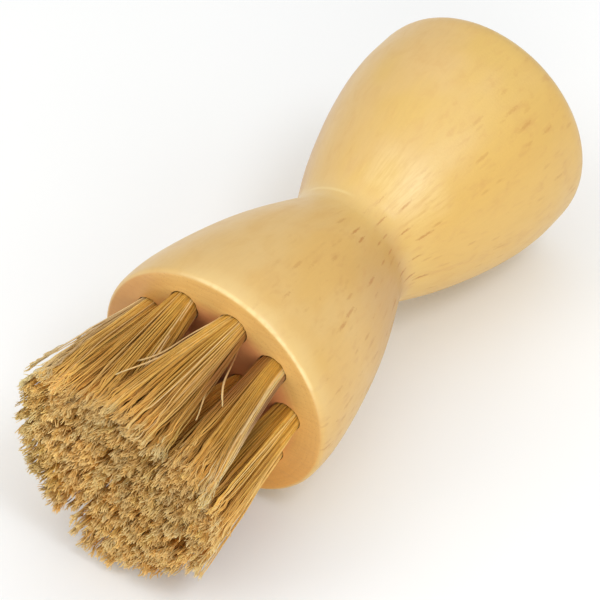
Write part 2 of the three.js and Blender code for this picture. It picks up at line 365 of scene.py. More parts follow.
def smooth_outline(points, per_mm=1.6, least=2):
    """A Catmull-Rom curve through the outline, spaced by chord length."""
    pts = np.array(points, float)
    t = np.r_[0, np.cumsum(np.sqrt(np.linalg.norm(np.diff(pts, axis=0), axis=1)))]
    tangent = np.zeros_like(pts)
    for i in range(len(pts)):
        a, b = max(i - 1, 0), min(i + 1, len(pts) - 1)
        tangent[i] = (pts[b] - pts[a]) / (t[b] - t[a])
    out = []
    for i in range(len(pts) - 1):
        h = t[i + 1] - t[i]
        n = max(least, int(round(np.linalg.norm(pts[i + 1] - pts[i]) * per_mm)))
        for j in range(n):
            u = j / n
            h00, h10 = 2 * u**3 - 3 * u**2 + 1, u**3 - 2 * u**2 + u
            h01, h11 = -2 * u**3 + 3 * u**2, u**3 - u**2
            out.append(h00 * pts[i] + h10 * h * tangent[i] + h01 * pts[i + 1] + h11 * h * tangent[i + 1])
    out.append(pts[-1])
    return np.array(out)


def plate(loops, inside):
    """Triangles that fill the flat region inside the first loop and outside the rest.
    loops are lists of (index, x, z); returns triangles of those indexes."""
    coords, edges, back = [], [], []
    for loop in loops:
        start = len(coords)
        for i, px, pz in loop:
            coords.append(Vector((px, pz)))
            back.append(i)
        n = len(loop)
        edges += [(start + j, start + (j + 1) % n) for j in range(n)]
    verts, _, tris, orig, _, _ = delaunay_2d_cdt(coords, edges, [], 1, 1e-7)
    out = []
    for tri in tris:
        c = sum((verts[i] for i in tri), Vector((0, 0))) / 3
        if inside(c.x, c.y):
            out.append([back[orig[i][0]] for i in tri])
    return out


def make_handle(material):
    """The turned handle, with the drilled holes open in its flat head."""
    n = 192
    outline = smooth_outline(OUTLINE)
    verts, faces = [], []

    def ring(along, r, cx=0.0, cz=0.0, count=n):
        a = np.arange(count) * 2 * math.pi / count
        start = len(verts)
        for t in a:
            verts.append((cx + r * math.cos(t), FACE_Y + along, AXIS_Z + cz + r * math.sin(t)))
        return list(range(start, start + count))

    def bridge(a, b):
        m = len(a)
        for i in range(m):
            faces.append((a[i], a[(i + 1) % m], b[(i + 1) % m], b[i]))

    rings = [ring(s, r) for s, r in outline]
    for a, b in zip(rings, rings[1:]):
        bridge(a, b)
    # Flat end of the knob.
    last = rings[-1]
    for r in (11.0, 8.0, 5.0, 2.5, 0.9):
        new = ring(HANDLE_L, r)
        bridge(last, new)
        last = new
    centre = len(verts)
    verts.append((0.0, FACE_Y + HANDLE_L, AXIS_Z))
    for i in range(n):
        faces.append((last[i], last[(i + 1) % n], centre))
    # Drilled face: a ring just inside the rounded rim, then the flat with its holes.
    flat_edge = ring(0.0, 17.1)
    bridge(flat_edge, rings[0])
    m = 40
    mouths = []
    for _, hx, hz, _ in HOLES:
        mouth = ring(0.0, HOLE_R + 0.1, hx, hz, m)
        lip = ring(0.14, HOLE_R, hx, hz, m)
        low_ring = ring(HOLE_DEPTH, HOLE_R, hx, hz, m)
        mid = ring(HOLE_DEPTH * 0.45, HOLE_R, hx, hz, m)
        for a, b in ((mouth, lip), (lip, mid), (mid, low_ring)):
            for i in range(m):
                faces.append((a[(i + 1) % m], a[i], b[i], b[(i + 1) % m]))
        # The bottom of the hole, with the two pilot holes of the staple's legs.
        q = 12
        legs = []
        for s in (-1, 1):
            top = ring(HOLE_DEPTH, WIRE_R + 0.06, hx + s * LEG_X, hz, q)
            end = ring(LEG_TIP_DEPTH + 0.15, WIRE_R + 0.06, hx + s * LEG_X, hz, q)
            for i in range(q):
                faces.append((top[(i + 1) % q], top[i], end[i], end[(i + 1) % q]))
            faces.append(tuple(end))
            legs.append(top)
        loops = [[(i, verts[i][0], verts[i][2]) for i in loop] for loop in (low_ring, *legs)]

        def in_bottom(px, pz, hx=hx, hz=hz):
            return all(math.hypot(px - hx - s * LEG_X, pz - AXIS_Z - hz) > WIRE_R for s in (-1, 1))

        for tri in plate(loops, in_bottom):
            faces.append(tuple(tri))
        mouths.append(mouth)
    loops = [[(i, verts[i][0], verts[i][2]) for i in loop] for loop in (flat_edge, *mouths)]

    def in_face(px, pz):
        return all(math.hypot(px - hx, pz - AXIS_Z - hz) > HOLE_R for _, hx, hz, _ in HOLES)

    for tri in plate(loops, in_face):
        faces.append(tuple(tri))
    obj = add_mesh("turned_handle", verts, faces, material)
    # Make every face point out of the wood.
    import bmesh
    bm = bmesh.new()
    bm.from_mesh(obj.data)
    bmesh.ops.recalc_face_normals(bm, faces=bm.faces[:])
    bm.to_mesh(obj.data)
    bm.free()
    obj.data.set_sharp_from_angle(angle=math.radians(38))
    return obj


def tubes(paths, radii, sides):
    """Closed tubes along paths. paths is (hairs, points, 3), radii (hairs, points). Returns verts (hairs, points, sides, 3)."""
    t = np.gradient(paths, axis=1)
    t /= np.linalg.norm(t, axis=2, keepdims=True)
    # A frame carried along each path with the least twist.
    normal = np.zeros_like(t)
    ref = np.where(np.abs(t[:, 0, 0:1]) < 0.8, np.array([[1.0, 0, 0]]), np.array([[0, 0, 1.0]]))
    v = ref - (ref * t[:, 0]).sum(1, keepdims=True) * t[:, 0]
    normal[:, 0] = v / np.linalg.norm(v, axis=1, keepdims=True)
    for i in range(1, paths.shape[1]):
        v = normal[:, i - 1] - (normal[:, i - 1] * t[:, i]).sum(1, keepdims=True) * t[:, i]
        normal[:, i] = v / np.maximum(np.linalg.norm(v, axis=1, keepdims=True), 1e-9)
    binormal = np.cross(t, normal)
    a = np.arange(sides) * 2 * math.pi / sides
    return (paths[:, :, None, :]
            + radii[:, :, None, None] * (np.cos(a)[None, None, :, None] * normal[:, :, None, :]
                                         + np.sin(a)[None, None, :, None] * binormal[:, :, None, :]))


def tube_faces(hairs, points, sides, start):
    """Quads of the tubes' walls and one cap at each end, as arrays of indexes."""
    base = start + np.arange(hairs)[:, None, None] * points * sides
    i = np.arange(points - 1)[None, :, None] * sides
    j = np.arange(sides)[None, None, :]
    j2 = (j + 1) % sides
    quads = np.stack([base + i + j, base + i + j2, base + i + sides + j2, base + i + sides + j], axis=-1).reshape(-1, 4)
    ring = np.arange(sides)
    first = start + np.arange(hairs)[:, None] * points * sides + ring[::-1][None, :]
    last = start + np.arange(hairs)[:, None] * points * sides + (points - 1) * sides + ring[None, :]
    return quads, np.vstack([first, last])


STATIONS = np.array([0.0, 0.06, 0.14, 0.24, 0.35, 0.46, 0.57, 0.66, 0.735, 0.795, 0.845, 0.885, 0.92, 0.95, 0.976, 1.0])
IN_HOLE = 9
HAIRS = 220
# Tones of single hairs (8-bit sRGB) and how common each is.
TONES = [((201, 155, 66), 0.46), ((208, 170, 90), 0.28), ((190, 141, 59), 0.14), ((164, 109, 44), 0.05), ((223, 199, 147), 0.07)]
# How each tuft opens at its ends (mm): its lean outward, from there its spread outward and inward,
# and its spread along the ring towards larger and smaller angles.
FANS = {
    "outer_01": (1.5, 3.0, 4.2, 4.6, 4.6),
    "outer_02": (-2.0, 2.1, 3.8, 7.2, 5.2),
    "outer_03": (-1.5, 2.3, 3.8, 6.4, 4.7),
    "outer_04": (0.0, 3.3, 4.4, 1.7, 7.4),
    "outer_05": (0.9, 3.0, 4.4, 3.6, 5.2),
    "outer_06": (1.0, 3.2, 4.4, 4.8, 5.0),
    "outer_07": (0.5, 3.4, 4.4, 5.0, 5.0),
    "outer_08": (1.2, 3.4, 4.4, 6.5, 3.5),
    "outer_09": (0.5, 3.6, 4.2, 4.2, 5.4),
    "outer_10": (0.4, 3.0, 4.4, 4.6, 5.2),
}
FAN_INNER = (0.0, 4.4, 4.8, 4.8, 4.8)
# A lock on the upper side of one tuft that stands off the rest (mm outward and along the ring).
SPLAY = {"outer_01": (1.1, -0.7)}
# Tufts that open evenly or late along their length (the power of the curve); the others open faster near the hole.
WAY = {"outer_01": 1.0, "outer_06": 1.0, "outer_04": 1.2}
# Painted highlights: pale locks at the edge of some tufts, the direction across the tuft in which they lie (degrees),
# and how pale they are.
PALE_LOCK_HIGHLIGHTS = {
    "outer_01": (140.0, 0.5), "outer_02": (-25.0, 0.5), "outer_03": (40.0, 0.2), "outer_04": (8.0, 0.95), "outer_05": (-35.0, 0.35),
    "outer_06": (-31.0, 0.5), "outer_08": (-100.0, 0.5), "outer_10": (170.0, 0.4),
}
# Painted shade on one side of some tufts, brown near the hole: direction across the tuft (degrees), where it starts and
# is full (fractions of the hole's radius), strength.
SHADED_SIDES = {
    "outer_02": [(-31.0, 0.4, 0.75, 0.9)],
    "outer_03": [(-31.0, 0.45, 0.75, 1.3)],
    "outer_04": [(-35.0, 0.58, 0.74, 1.4), (149.0, 0.3, 0.6, 1.2)],
    "outer_05": [(149.0, 0.4, 0.8, 0.4)],
    "outer_07": [(160.0, 0.4, 0.75, 0.8)],
    "outer_09": [(40.0, 0.4, 0.75, 0.8)],
}
# Painted light: how much lighter or darker each tuft is made than the rest, for the light that reaches it.
TUFT_PAINTED_LIGHT = {
    "outer_01": 1.34, "outer_10": 1.34, "outer_09": 1.19, "outer_08": 1.16, "outer_07": 1.16, "outer_06": 1.14, "outer_05": 1.12,
    "inner_03": 1.06, "inner_04": 1.12, "inner_05": 1.2,
}
# How far from the axis the trimmed ends reach, by direction (degrees, mm).
REACH = np.array([
    (-180, 15.4), (-165, 15.0), (-152, 14.8), (-145, 14.8), (-138, 15.2), (-133, 15.8), (-129, 14.4), (-124, 11.9), (-121, 13.2),
    (-118, 15.4), (-112, 17.2), (-100, 16.2), (-80, 16.1), (-60, 15.7), (-40, 16.4), (-20, 16.8), (0, 16.6), (20, 16.4), (38, 15.8),
    (60, 13.7), (80, 12.9), (103, 12.6), (120, 13.5), (131, 14.9), (136, 16.9), (139, 18.0), (142, 17.2), (145, 16.4), (152, 16.3), (160, 15.8), (180, 15.4),
], float)
# Loose hairs that leave a bundle: start in the hole (fractions of its radius), sideways and upward travel, length (mm).
LOOSE = {
    "outer_03": [((0.75, -0.55), (4.7, 0.1), 11.0), ((0.55, -0.75), (3.0, -0.6), 14.0), ((-0.8, 0.35), (-3.4, -0.3), 12.0),
                 ((-0.85, 0.5), (-4.2, -0.1), 13.0), ((-0.7, 0.65), (-4.3, 0.1), 16.5)],
    "outer_04": [((0.85, -0.3), (0.8, -2.8), 10.5), ((0.8, -0.1), (0.2, -2.0), 14.0)],
    "outer_01": [((-0.3, 0.85), (-2.2, 1.3), 12.0), ((0.6, 0.7), (2.6, 0.9), 13.0)],
    "outer_02": [((0.8, -0.5), (2.6, -1.0), 11.0), ((0.7, -0.2), (2.2, -1.5), 14.0), ((0.9, 0.1), (1.2, 0.8), 12.0)],
}


def make_tuft(tag, hx, hz, outer, seed, material, hairs=HAIRS, sides=4):
    name = f"tuft_{tag}_bristles"
    rng = np.random.default_rng(seed)
    rad = math.hypot(hx, hz)
    out_dir = np.array([hx, hz]) / rad
    tan_dir = np.array([-out_dir[1], out_dir[0]])
    lean, far, near_in, wide_up, wide_down = FANS[tag] if outer else FAN_INNER
    pack = HOLE_R - 0.13
    s = STATIONS
    way = s ** WAY[tag] if tag in WAY else s * (1.25 - 0.25 * s)

    # Where the hairs stand in the mouth of the hole: packed, one half each side of the staple.
    kk = np.arange(hairs * 2) + 0.5
    spots = np.c_[np.sqrt(kk / (hairs * 2)) * np.cos(kk * 2.39996), np.sqrt(kk / (hairs * 2)) * np.sin(kk * 2.39996)]
    order = np.argsort(-spots[:, 1])
    a_q = spots[order[:hairs]]
    b_q = spots[order[hairs:]]
    a_q = a_q[np.argsort(a_q[:, 0])]
    b_q = b_q[np.argsort(b_q[:, 0])]
    # Hairs fold over into a place that is about opposite.
    b_q = b_q[np.argsort(np.arange(hairs) + rng.normal(0, 5.0, hairs))]

    def scatter(count):
        """Places spread evenly in the unit circle."""
        pool = rng.uniform(-1, 1, (1500, 2))
        pool = pool[np.linalg.norm(pool, axis=1) < 0.98]
        picked = [pool[0]]
        gap = np.linalg.norm(pool - picked[0], axis=1)
        for _ in range(count - 1):
            picked.append(pool[np.argmax(gap * rng.uniform(0.8, 1.0, len(gap)))])
            gap = np.minimum(gap, np.linalg.norm(pool - picked[-1], axis=1))
        return np.array(picked)

    def fan(q):
        """Where a hair that stands at q in the unit circle ends, from the middle of the tuft (mm)."""
        qo, qt = q @ out_dir, q @ tan_dir
        o = lean + np.where(qo > 0, far, near_in) * qo
        t = (wide_up - wide_down) / 2 + (wide_up + wide_down) / 2 * qt
        return o[:, None] * out_dir + t[:, None] * tan_dir

    def crinkle(count, terms):
        """Waves across a hair that grow towards its end."""
        out = np.zeros((count, len(s), 2))
        for amp, waves, power in terms:
            phase = rng.uniform(0, 2 * math.pi, (count, 1, 2))
            freq = rng.uniform(*waves, (count, 1, 2))
            size = rng.normal(0, amp, (count, 1, 2))
            out += size * (np.sin(phase + 2 * math.pi * freq * s[None, :, None]) - np.sin(phase)) * (s ** power)[None, :, None]
        return out

    # Locks of neighbouring hairs, and in each lock a few strands whose hairs run together.
    locks, strands = 13, 80
    lock_q, strand_q = scatter(locks), scatter(strands)
    strand_lock = np.argmin(np.linalg.norm(strand_q[:, None] - lock_q[None], axis=2), axis=1)
    lock_shift = rng.normal(0, 0.5, (locks, 2))
    lock_tone = rng.normal(1.0, 0.12, locks)
    if tag in SPLAY:
        off = out_dir * SPLAY[tag][0] + tan_dir * SPLAY[tag][1]
        edge = np.argsort(-(lock_q @ (out_dir * 0.98 - tan_dir * 0.2)))[:2]
        lock_shift[edge] = off[None, :] * np.array([[1.0], [0.7]])
        lock_tone[edge] = 0.9
    # Painted highlights: one lock at the edge of some tufts, and the lifted lock, is made lighter and creamier.
    highlight_lock = -1
    if tag in PALE_LOCK_HIGHLIGHTS:
        way_out = np.array([math.cos(math.radians(PALE_LOCK_HIGHLIGHTS[tag][0])), math.sin(math.radians(PALE_LOCK_HIGHLIGHTS[tag][0]))])
        highlight_lock = np.argmax(lock_q @ way_out)
        lock_tone[highlight_lock] = 1.05 + 0.2 * PALE_LOCK_HIGHLIGHTS[tag][1]
    strand_highlight = np.where(strand_lock == highlight_lock, rng.uniform(0.5, 1.0, strands), 0.0) * (PALE_LOCK_HIGHLIGHTS[tag][1] if tag in PALE_LOCK_HIGHLIGHTS else 0.0)
    if tag in SPLAY:
        strand_highlight = np.where(np.isin(strand_lock, edge), 0.5, strand_highlight)
    strand_tip = fan(strand_q) + lock_shift[strand_lock] + rng.normal(0, 0.25, (strands, 2))
    strand_root = strand_q * pack
    strand_path = strand_root[:, None, :] + (strand_tip - strand_root)[:, None, :] * way[None, :, None]
    lock_tip = fan(lock_q) + lock_shift
    lock_path = (lock_q * pack)[:, None, :] + (lock_tip - lock_q * pack)[:, None, :] * way[None, :, None]
    draw = np.interp(s, [0, 0.12, 0.5, 0.8, 1.0], [0, 0.08, 0.36, 0.3, 0.16])[None, :, None]
    strand_path = strand_path * (1 - draw) + lock_path[strand_lock] * draw
    strand_path = strand_path + crinkle(strands, ((0.26, (0.5, 1.1), 1.2), (0.15, (2.2, 3.6), 2.5), (0.22, (6.5, 9.5), 3.6)))
    strand_tone = np.clip(lock_tone[strand_lock] * rng.normal(1.0, 0.11, strands), 0.64, 1.4)
    strand_len = rng.normal(-0.35, 0.45, locks)[strand_lock] + rng.normal(0, 0.55, strands)

    ends, end_strand = [], []
    for q in (a_q, b_q):
        root = q * pack + rng.normal(0, 0.03, (hairs, 2))
        root *= np.minimum(1.0, pack / np.maximum(np.linalg.norm(root, axis=1), 1e-6))[:, None]
        mine = np.argmin(np.linalg.norm(q[:, None] - strand_q[None], axis=2), axis=1)
        tip = fan(q) + lock_shift[strand_lock[mine]] + rng.normal(0, 0.28, (hairs, 2))
        own = root[:, None, :] + (tip - root)[:, None, :] * way[None, :, None]
        own = own + crinkle(hairs, ((0.22, (0.5, 1.1), 1.2), (0.06, (2.4, 4.4), 2.0), (0.09, (7.0, 11.0), 3.6)))
        own = own + rng.normal(0, 0.3, (hairs, 1, 2)) * (np.clip((s - 0.85) / 0.15, 0, 1) ** 2)[None, :, None]
        pull = np.interp(s, [0, 0.45, 0.7, 0.85, 0.93, 1.0], [0, 0.14, 0.4, 0.76, 0.82, 0.7])
        alone = rng.random(hairs) < 0.1
        pull = pull[None, :, None] * np.where(alone, 0.1, rng.uniform(0.75, 1.15, hairs))[:, None, None]
        flat = own * (1 - pull) + strand_path[mine] * pull
        # A few hairs leave their lock.
        astray = rng.random(hairs) < 0.03
        flat = flat + rng.normal(0, 1.2, (hairs, 1, 2)) * astray[:, None, None] * (s ** 1.5)[None, :, None]
        # The whole brush is drawn back most of the way into its trimmed outline.
        px, pz = hx + flat[:, :, 0], hz + flat[:, :, 1]
        reach = np.interp(np.degrees(np.arctan2(pz, px)), REACH[:, 0], REACH[:, 1])
        root_reach = rad + HOLE_R + 0.15
        limit = root_reach + (reach - root_reach) * way[None, :] if outer else reach
        r = np.hypot(px, pz)
        over = np.maximum(r - limit, 0.0)
        keep = 1 - over * 0.75 / np.maximum(r, 1e-6)
        px, pz = px * keep, pz * keep
        length = FREE_L + rng.normal(-0.2, 0.3, hairs) + strand_len[mine]
        length = length - np.where(rng.random(hairs) < 0.1, rng.uniform(0.4, 2.4, hairs), 0.0)
        depth = -np.minimum(length, FREE_L + 0.5)[:, None] * s[None, :]
        ends.append(np.stack([px, depth, pz], axis=2))
        end_strand.append(mine)
    loose = []
    for i, (start, travel, length) in enumerate(LOOSE.get(tag, [])):
        side_q, which = (a_q, ends[0]) if start[1] > 0 else (b_q, ends[1])
        # Two hairs together.
        near = [n for n in np.argsort(np.linalg.norm(side_q - np.array(start), axis=1)) if n not in loose][:2]
        for j, at in enumerate(near):
            loose.append(at)
            sj = s * (1 - 0.8 * j / length)
            bend = sj ** 1.25
            wave = 0.35 * np.sin(2.2 * math.pi * sj + i) * sj
            apart = 0.09 * j * np.cos(4.0 * sj + i)
            which[at, :, 0] = hx + start[0] * pack + travel[0] * bend + wave + apart
            which[at, :, 1] = -length * sj
            which[at, :, 2] = hz + start[1] * pack + travel[1] * bend - wave * 0.6 - apart * 0.4
    # Nothing goes below the surface that the brush lies on.
    ground = 0.16 - AXIS_Z
    for e in ends:
        low_z = e[:, :, 2] < ground
        e[:, :, 2] = np.where(low_z, ground + (e[:, :, 2] - ground) * -0.15, e[:, :, 2])

    # Down the hole: straight to the fold, then round under the bridge of the staple.
    def shaft(root, sign):
        rho = 0.52 + np.abs(root[:, 1]) / pack * 1.1
        fx = root[:, 0] * 0.45
        pts = []
        for d, w in ((BRIDGE_DEPTH, 1.0), (4.6, 0.75), (2.2, 0.3)):
            px = root[:, 0] * (1 - w) + fx * w
            pz = root[:, 1] * (1 - w) + sign * rho * w
            pts.append(np.stack([hx + px, np.full(len(px), d), hz + pz], axis=1))
        return np.stack(pts, axis=1), rho, fx

    a_shaft, rho_a, fx_a = shaft(ends[0][:, 0][:, [0, 2]] - [hx, hz], 1)
    b_shaft, rho_b, fx_b = shaft(ends[1][:, 0][:, [0, 2]] - [hx, hz], -1)
    rho = (rho_a + rho_b) / 2
    fold = []
    for ang in (45, 90, 135):
        c, sn = math.cos(math.radians(ang)), math.sin(math.radians(ang))
        w = ang / 180
        fold.append(np.stack([hx + fx_a * (1 - w) + fx_b * w, BRIDGE_DEPTH + rho * sn, hz + rho * c], axis=1))
    fold = np.stack(fold, axis=1)
    hair = np.concatenate([ends[0][:, ::-1], a_shaft[:, ::-1], fold, b_shaft, ends[1]], axis=1)
    points = hair.shape[1]

    thick = rng.uniform(0.078, 0.105, hairs)
    thick[loose] = 0.11
    taper = 1.0 - 0.08 * s
    taper[-1] = 0.7
    radii = thick[:, None] * np.r_[taper[::-1], np.ones(IN_HOLE), taper][None, :]
    along = np.r_[s[::-1], np.full(IN_HOLE, -0.3), s]
    hair_v = np.linspace(0.02, 0.98, points)

    # Split ends: finer hairs that leave the last part of an end.
    flag_paths, flag_owner, flag_strand, flag_v = [], [], [], []
    steps = np.linspace(0, 1, 5)
    for e, mine, back in ((ends[0], end_strand[0], True), (ends[1], end_strand[1], False)):
        for chance, at in ((0.45, 12), (0.3, 11), (0.3, 13)):
            use = np.nonzero(rng.random(hairs) < chance)[0]
            use = use[~np.isin(use, loose)]
            base = e[use, at]
            heading = e[use, -1] - base
            side = rng.normal(0, 0.25, (len(use), 3))
            curl = rng.normal(0, 0.19, (len(use), 3))
            side[:, 1] = curl[:, 1] = 0
            span = rng.uniform(0.8, 1.1, len(use))
            fp = base[:, None, :] + heading[:, None, :] * (span[:, None] * steps[None, :])[:, :, None]
            fp = fp + side[:, None, :] * (steps ** 1.2)[None, :, None] + curl[:, None, :] * (np.sin(steps * 5.0) * steps)[None, :, None]
            fp[:, :, 2] = np.maximum(fp[:, :, 2], ground)
            flag_paths.append(fp)
            flag_owner.append(use)
            flag_strand.append(mine[use])
            v = np.interp(s[at] + (1 - s[at]) * steps, s, np.arange(len(s)))
            v = (len(s) - 1 - v) if back else (points - len(s) + v)
            flag_v.append(np.broadcast_to(np.interp(v, np.arange(points), hair_v), (len(use), 5)))
    flags = np.concatenate(flag_paths)
    owner = np.concatenate(flag_owner)
    owner_strand = np.concatenate(flag_strand)
    flag_v = np.concatenate(flag_v)
    flag_r = thick[owner][:, None] * np.array([0.75, 0.74, 0.7, 0.62, 0.35])[None, :]

    tone_list = np.array([srgb(*c) for c, _ in TONES])
    weights = np.array([w for _, w in TONES])
    tone = tone_list[rng.choice(len(TONES), hairs, p=weights / weights.sum())]
    tone = tone * rng.uniform(0.94, 1.06, (hairs, 1)) * TUFT_PAINTED_LIGHT.get(tag, 1.0)
    strand_hue = tone_list[rng.choice(len(TONES), strands, p=weights / weights.sum())] * TUFT_PAINTED_LIGHT.get(tag, 1.0)
    # The hairs of a strand are much alike.
    tone_a, tone_b = (tone * 0.4 + strand_hue[mine] * 0.6 for mine in end_strand)
    for one in (tone, tone_a, tone_b):
        one[loose] = srgb(226, 200, 150)
    tip_tone = np.array(srgb(214, 196, 144)) * TUFT_PAINTED_LIGHT.get(tag, 1.0)

    tint = np.array([0.92, 1.04, 1.2])

    def straw(c):
        """Bright hairs lean to cream, dark ones to red-brown."""
        r = c[..., :1]
        k = np.clip(r / (0.78 * TUFT_PAINTED_LIGHT.get(tag, 1.0)), 0.3, 1.2)
        return c * 0.4 + 0.6 * r * np.concatenate([np.ones_like(k), 0.68 * k ** 0.6, 0.2 * k ** 1.9], axis=-1)

    # Some strands have pale ends, most have not.
    bleach = (0.5 * rng.random(locks)[strand_lock] + 0.5 * rng.random(strands)) ** 1.6

    def shade(base, at, inside, pale, side_shade=0.0, calm=0.0):
        """Painted shade: darker and redder in the hole, warmer deep in the bundle. Painted light: lighter near the
        root, and brighter and warmer just below the ends deep in the bundle. Paler at the split end.
        """
        down = np.clip(-at / 0.3, 0, 1)[..., None]
        deep = (np.clip(inside * 2.2, 0, 1) * np.clip((0.95 - at) / 0.3, 0, 1))[..., None]
        root = np.clip((0.34 - at) / 0.2, 0, 1)[..., None] * (1 - down)
        tipw = ((0.2 + 0.7 * pale) * np.clip((at - 0.9) / 0.08, 0, 1))[..., None]
        late = (np.clip((at - 0.7) / 0.18, 0, 1) * (1 - 0.4 * np.clip((at - 0.9) / 0.08, 0, 1)) * (0.08 + 0.92 * np.clip((inside - 0.06) * 1.5, 0, 1)))[..., None]
        # Painted shade in the hole and deep in the bundle.
        c = base * (1 - down * np.array([0.45, 0.55, 0.65])) * (1 - deep * np.array([0.0, 0.16, 0.5]))
        late = late * (1 - calm)
        # Painted light near the root and just below the ends deep in the bundle.
        c = c * (1 + root * np.array([0.18, 0.2, 0.12])) * (1 + late * np.array([0.72, 0.46, -0.2]))
        # Painted shade: brown on one side of some tufts near the hole.
        brown = np.clip(side_shade * np.clip((0.8 - at) / 0.45, 0, 1)[..., None] * 0.62, 0, 0.85)
        c = c * (1 - brown) + np.array(srgb(138, 79, 34)) * brown
        # Painted light: the inner tufts are made lighter and redder below their ends.
        if not outer:
            c = c * (1 - np.clip((0.88 - at) / 0.2, 0, 1)[..., None] * np.array([-0.45, -0.18, -0.1]))
        most = (0.72 + 0.18 * np.clip(inside * 2.0, 0, 1) * np.clip((0.95 - at) / 0.05, 0, 1))[..., None] * TUFT_PAINTED_LIGHT.get(tag, 1.0)
        c = c * np.minimum(1.0, most / np.maximum(c[..., :1], 1e-6)) ** np.array([1.0, 0.86, 0.75])
        # A bright hair is straw, and only a dark one is as red as rust.
        r = c[..., 0]
        bright = np.clip((r - 0.25) / 0.35, 0, 1) * np.clip((at - 0.5) / 0.25, 0, 1)
        c = np.stack([r, np.clip(c[..., 1], r * (0.36 + 0.19 * bright), r * 0.86), np.clip(c[..., 2], r * (0.02 + 0.1 * bright), r * 0.52)], axis=-1)
        return c * (1 - tipw) + tip_tone * tipw

    in_a, in_b = 1 - (a_q ** 2).sum(1), 1 - (b_q ** 2).sum(1)
    tone_along = np.concatenate([np.repeat(strand_tone[end_strand[0]][:, None], len(s), 1), np.ones((hairs, IN_HOLE)),
                                 np.repeat(strand_tone[end_strand[1]][:, None], len(s), 1)], axis=1)
    inside = np.concatenate([np.repeat(in_a[:, None], len(s), 1), np.ones((hairs, IN_HOLE)), np.repeat(in_b[:, None], len(s), 1)], axis=1)
    pale_along = np.concatenate([np.repeat(bleach[end_strand[0]][:, None], len(s), 1), np.zeros((hairs, IN_HOLE)),
                                 np.repeat(bleach[end_strand[1]][:, None], len(s), 1)], axis=1)
    # Painted shade: hairs on one side of some tufts are made brown near the hole.
    side_shade = np.zeros((hairs, points, 1))
    for deg, start, full, strength in SHADED_SIDES.get(tag, []):
        way_out = np.array([math.cos(math.radians(deg)), math.sin(math.radians(deg))])
        for q, cut in ((a_q, slice(0, len(s))), (b_q, slice(points - len(s), points))):
            edge = np.clip((q @ way_out - start) / (full - start), 0, 1) * strength
            side_shade[:, cut, 0] = np.maximum(side_shade[:, cut, 0], edge[:, None])
    # Light strands are also yellower, dark ones redder.
    cream = np.concatenate([np.repeat(strand_highlight[end_strand[0]][:, None], len(s), 1), np.zeros((hairs, IN_HOLE)),
                            np.repeat(strand_highlight[end_strand[1]][:, None], len(s), 1)], axis=1)[:, :, None]
    hair_base = np.concatenate([np.repeat(tone_a[:, None], len(s), 1), np.repeat(tone[:, None], IN_HOLE, 1), np.repeat(tone_b[:, None], len(s), 1)], axis=1)
    lit = tone_along[:, :, None] ** tint
    # Painted highlights: the strands of the pale locks are mixed towards cream.
    hair_base = straw(hair_base * lit) * (1 - cream) + np.array(srgb(226, 200, 148)) * lit * cream
    if tag == "outer_01":
        hair_base = hair_base * np.array([0.98, 1.13, 1.7])
    hair_base[loose] = srgb(210, 178, 126)
    hair_col = shade(hair_base, np.broadcast_to(along, (hairs, points)), inside, pale_along, side_shade, np.clip(cream * 1.5, 0, 1))
    flag_base = tone[owner] * 0.4 + strand_hue[owner_strand] * 0.6
    flag_col = shade(straw(flag_base * strand_tone[owner_strand][:, None] ** tint)[:, None, :],
                     np.broadcast_to(np.linspace(0.92, 1.0, 5), (len(owner), 5)), np.full((len(owner), 5), 0.4),
                     np.broadcast_to(bleach[owner_strand][:, None], (len(owner), 5)))

    # Painted shade: the ends that stick out on the -X side are darker.
    for col, path, at in ((hair_col, hair, along), (flag_col, flags, np.linspace(0.92, 1.0, 5))):
        painted_end_shade = np.clip((-path[..., 0] - 9.0) / 5.0, 0, 1) * np.clip((at - 0.6) / 0.3, 0, 1)
        col *= 1 - painted_end_shade[..., None] * np.array([0.27, 0.23, 0.24])

    flag_sides = 4
    nf, pf = flags.shape[:2]
    verts = np.concatenate([tubes(hair, radii, sides).reshape(-1, 3), tubes(flags, flag_r, flag_sides).reshape(-1, 3)])
    verts[:, 1] += FACE_Y
    verts[:, 2] += AXIS_Z
    q1, c1 = tube_faces(hairs, points, sides, 0)
    q2, c2 = tube_faces(nf, pf, flag_sides, hairs * points * sides)

    mesh = bpy.data.meshes.new(name)
    loops = np.concatenate([q1.ravel(), c1.ravel(), q2.ravel(), c2.ravel()])
    sizes = np.concatenate([np.full(len(q1), 4), np.full(len(c1), sides), np.full(len(q2), 4), np.full(len(c2), flag_sides)])
    mesh.vertices.add(len(verts))
    mesh.vertices.foreach_set("co", (verts * 0.001).astype(np.float32).ravel())
    mesh.loops.add(len(loops))
    mesh.loops.foreach_set("vertex_index", loops.astype(np.int32))
    mesh.polygons.add(len(sizes))
    mesh.polygons.foreach_set("loop_start", np.r_[0, np.cumsum(sizes)[:-1]].astype(np.int32))
    mesh.polygons.foreach_set("loop_total", sizes.astype(np.int32))
    mesh.polygons.foreach_set("use_smooth", np.ones(len(sizes), bool))
    mesh.materials.append(material)
    mesh.update(calc_edges=True)

    cols = np.concatenate([np.repeat(hair_col.reshape(-1, 3), sides, axis=0), np.repeat(flag_col.reshape(-1, 3), flag_sides, axis=0)])
    attr = mesh.color_attributes.new("hair_colour", "FLOAT_COLOR", "POINT")
    attr.data.foreach_set("color", np.c_[cols, np.ones(len(cols))].astype(np.float32).ravel())

    # Surface map: one upright strip for each hair, shared by all its sides and its split ends.
    rows = 2
    per_row = math.ceil(hairs / rows)
    strip = np.concatenate([np.repeat(np.arange(hairs), points * sides), np.repeat(owner, pf * flag_sides)])[loops]
    v = np.concatenate([np.tile(np.repeat(hair_v, sides), hairs), np.repeat(flag_v.ravel(), flag_sides)])[loops]
